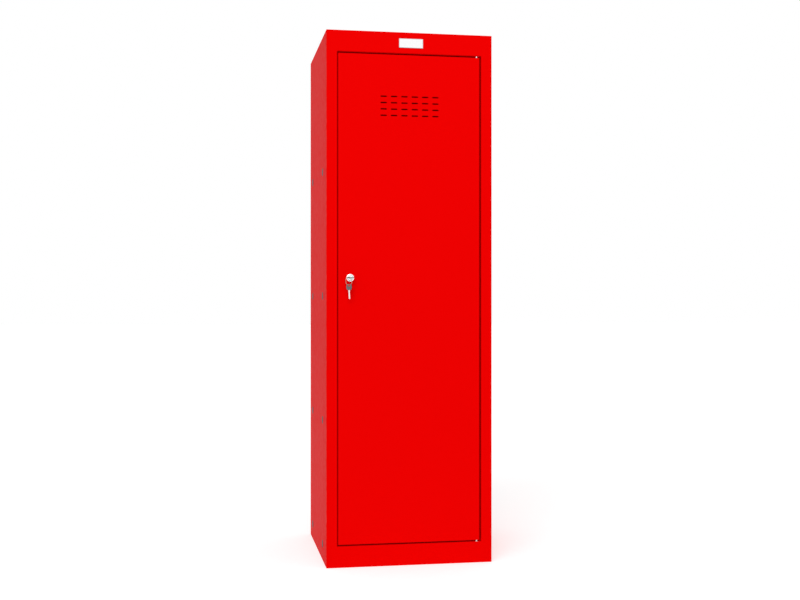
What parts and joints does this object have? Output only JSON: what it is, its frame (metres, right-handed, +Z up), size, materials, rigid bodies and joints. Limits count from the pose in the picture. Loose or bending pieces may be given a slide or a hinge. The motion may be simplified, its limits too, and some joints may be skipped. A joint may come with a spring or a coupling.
{
  "type": "cube locker",
  "caption": "Tall sheet steel cube locker with an inset vented door on pivot pins, a cam lock with keys, and plugged linking holes in its sides.",
  "frame": {"origin": "on the floor, under the middle of the body's footprint; the front face is at y = -192.5 mm", "axes": "+Z up, +X to the hinge side, -Y out of the front (door) face"},
  "size_m": [0.3874, 0.4035, 1.22],
  "materials": {
    "red_paint": "semi-gloss powder coat",
    "white_plate": "satin",
    "grey_plastic": "matte",
    "zinc_steel": "zinc plated",
    "bright_steel": "polished",
    "white_nylon": "satin",
    "black_rubber": "matte",
    "lock_chrome": "polished",
    "wafer_brass": "stamped",
    "key_steel": "nickel plated"
  },
  "bodies": {
    "carcass": {"left_side_panel": "red_paint", "right_side_panel": "red_paint", "back_panel": "red_paint", "top_panel": "red_paint", "base_panel": "red_paint", "top_rail": "red_paint", "bottom_rail": "red_paint", "name_plate": "white_plate", "left_side_plugs": "grey_plastic", "right_side_plugs": "grey_plastic", "upper_pivot_plate": "zinc_steel", "lower_pivot_plate": "zinc_steel", "upper_pivot_bush": "white_nylon", "lower_pivot_bush": "white_nylon", "door_buffers": "black_rubber", "coat_hook": "zinc_steel", "hook_rivets": "zinc_steel"},
    "door": {"door_panel": "red_paint", "door_stiffener": "red_paint", "upper_door_plate": "zinc_steel", "lower_door_plate": "zinc_steel", "upper_hinge_pin": "bright_steel", "lower_hinge_pin": "bright_steel", "lock_housing": "lock_chrome", "lock_washer": "zinc_steel", "lock_nut": "zinc_steel"},
    "lock_core": {"lock_plug": "lock_chrome", "lock_wafers": "wafer_brass", "lock_cam": "zinc_steel", "cam_screw": "zinc_steel"},
    "key": {"lock_key": "key_steel"},
    "ring": {"key_ring": "bright_steel"},
    "hanging_key": {"spare_key": "key_steel"}
  },
  "joints": [
    {"name": "door_hinge", "type": "hinge", "parent": "carcass", "child": "door", "pos_m": [0.1575, -0.186, 0.61], "axis": [0, 0, 1], "range_deg": [0, 110]},
    {"name": "lock_turn", "type": "hinge", "parent": "door", "child": "lock_core", "pos_m": [-0.1384, -0.195, 0.6578], "axis": [0, 1, 0], "range_deg": [0, 90]},
    {"name": "key_withdrawal", "type": "slide", "parent": "lock_core", "child": "key", "axis": [0, -1, 0], "range_m": [0, 0.024]},
    {"name": "ring_swing", "type": "hinge", "parent": "key", "child": "ring", "pos_m": [-0.1437, -0.2058, 0.6587], "axis": [-1, 0, 0], "range_deg": [-5, 25]},
    {"name": "spare_key_swing", "type": "hinge", "parent": "ring", "child": "hanging_key", "pos_m": [-0.14277, -0.2058, 0.64093], "axis": [-1, 0, 0], "range_deg": [-5, 25]}
  ]
}
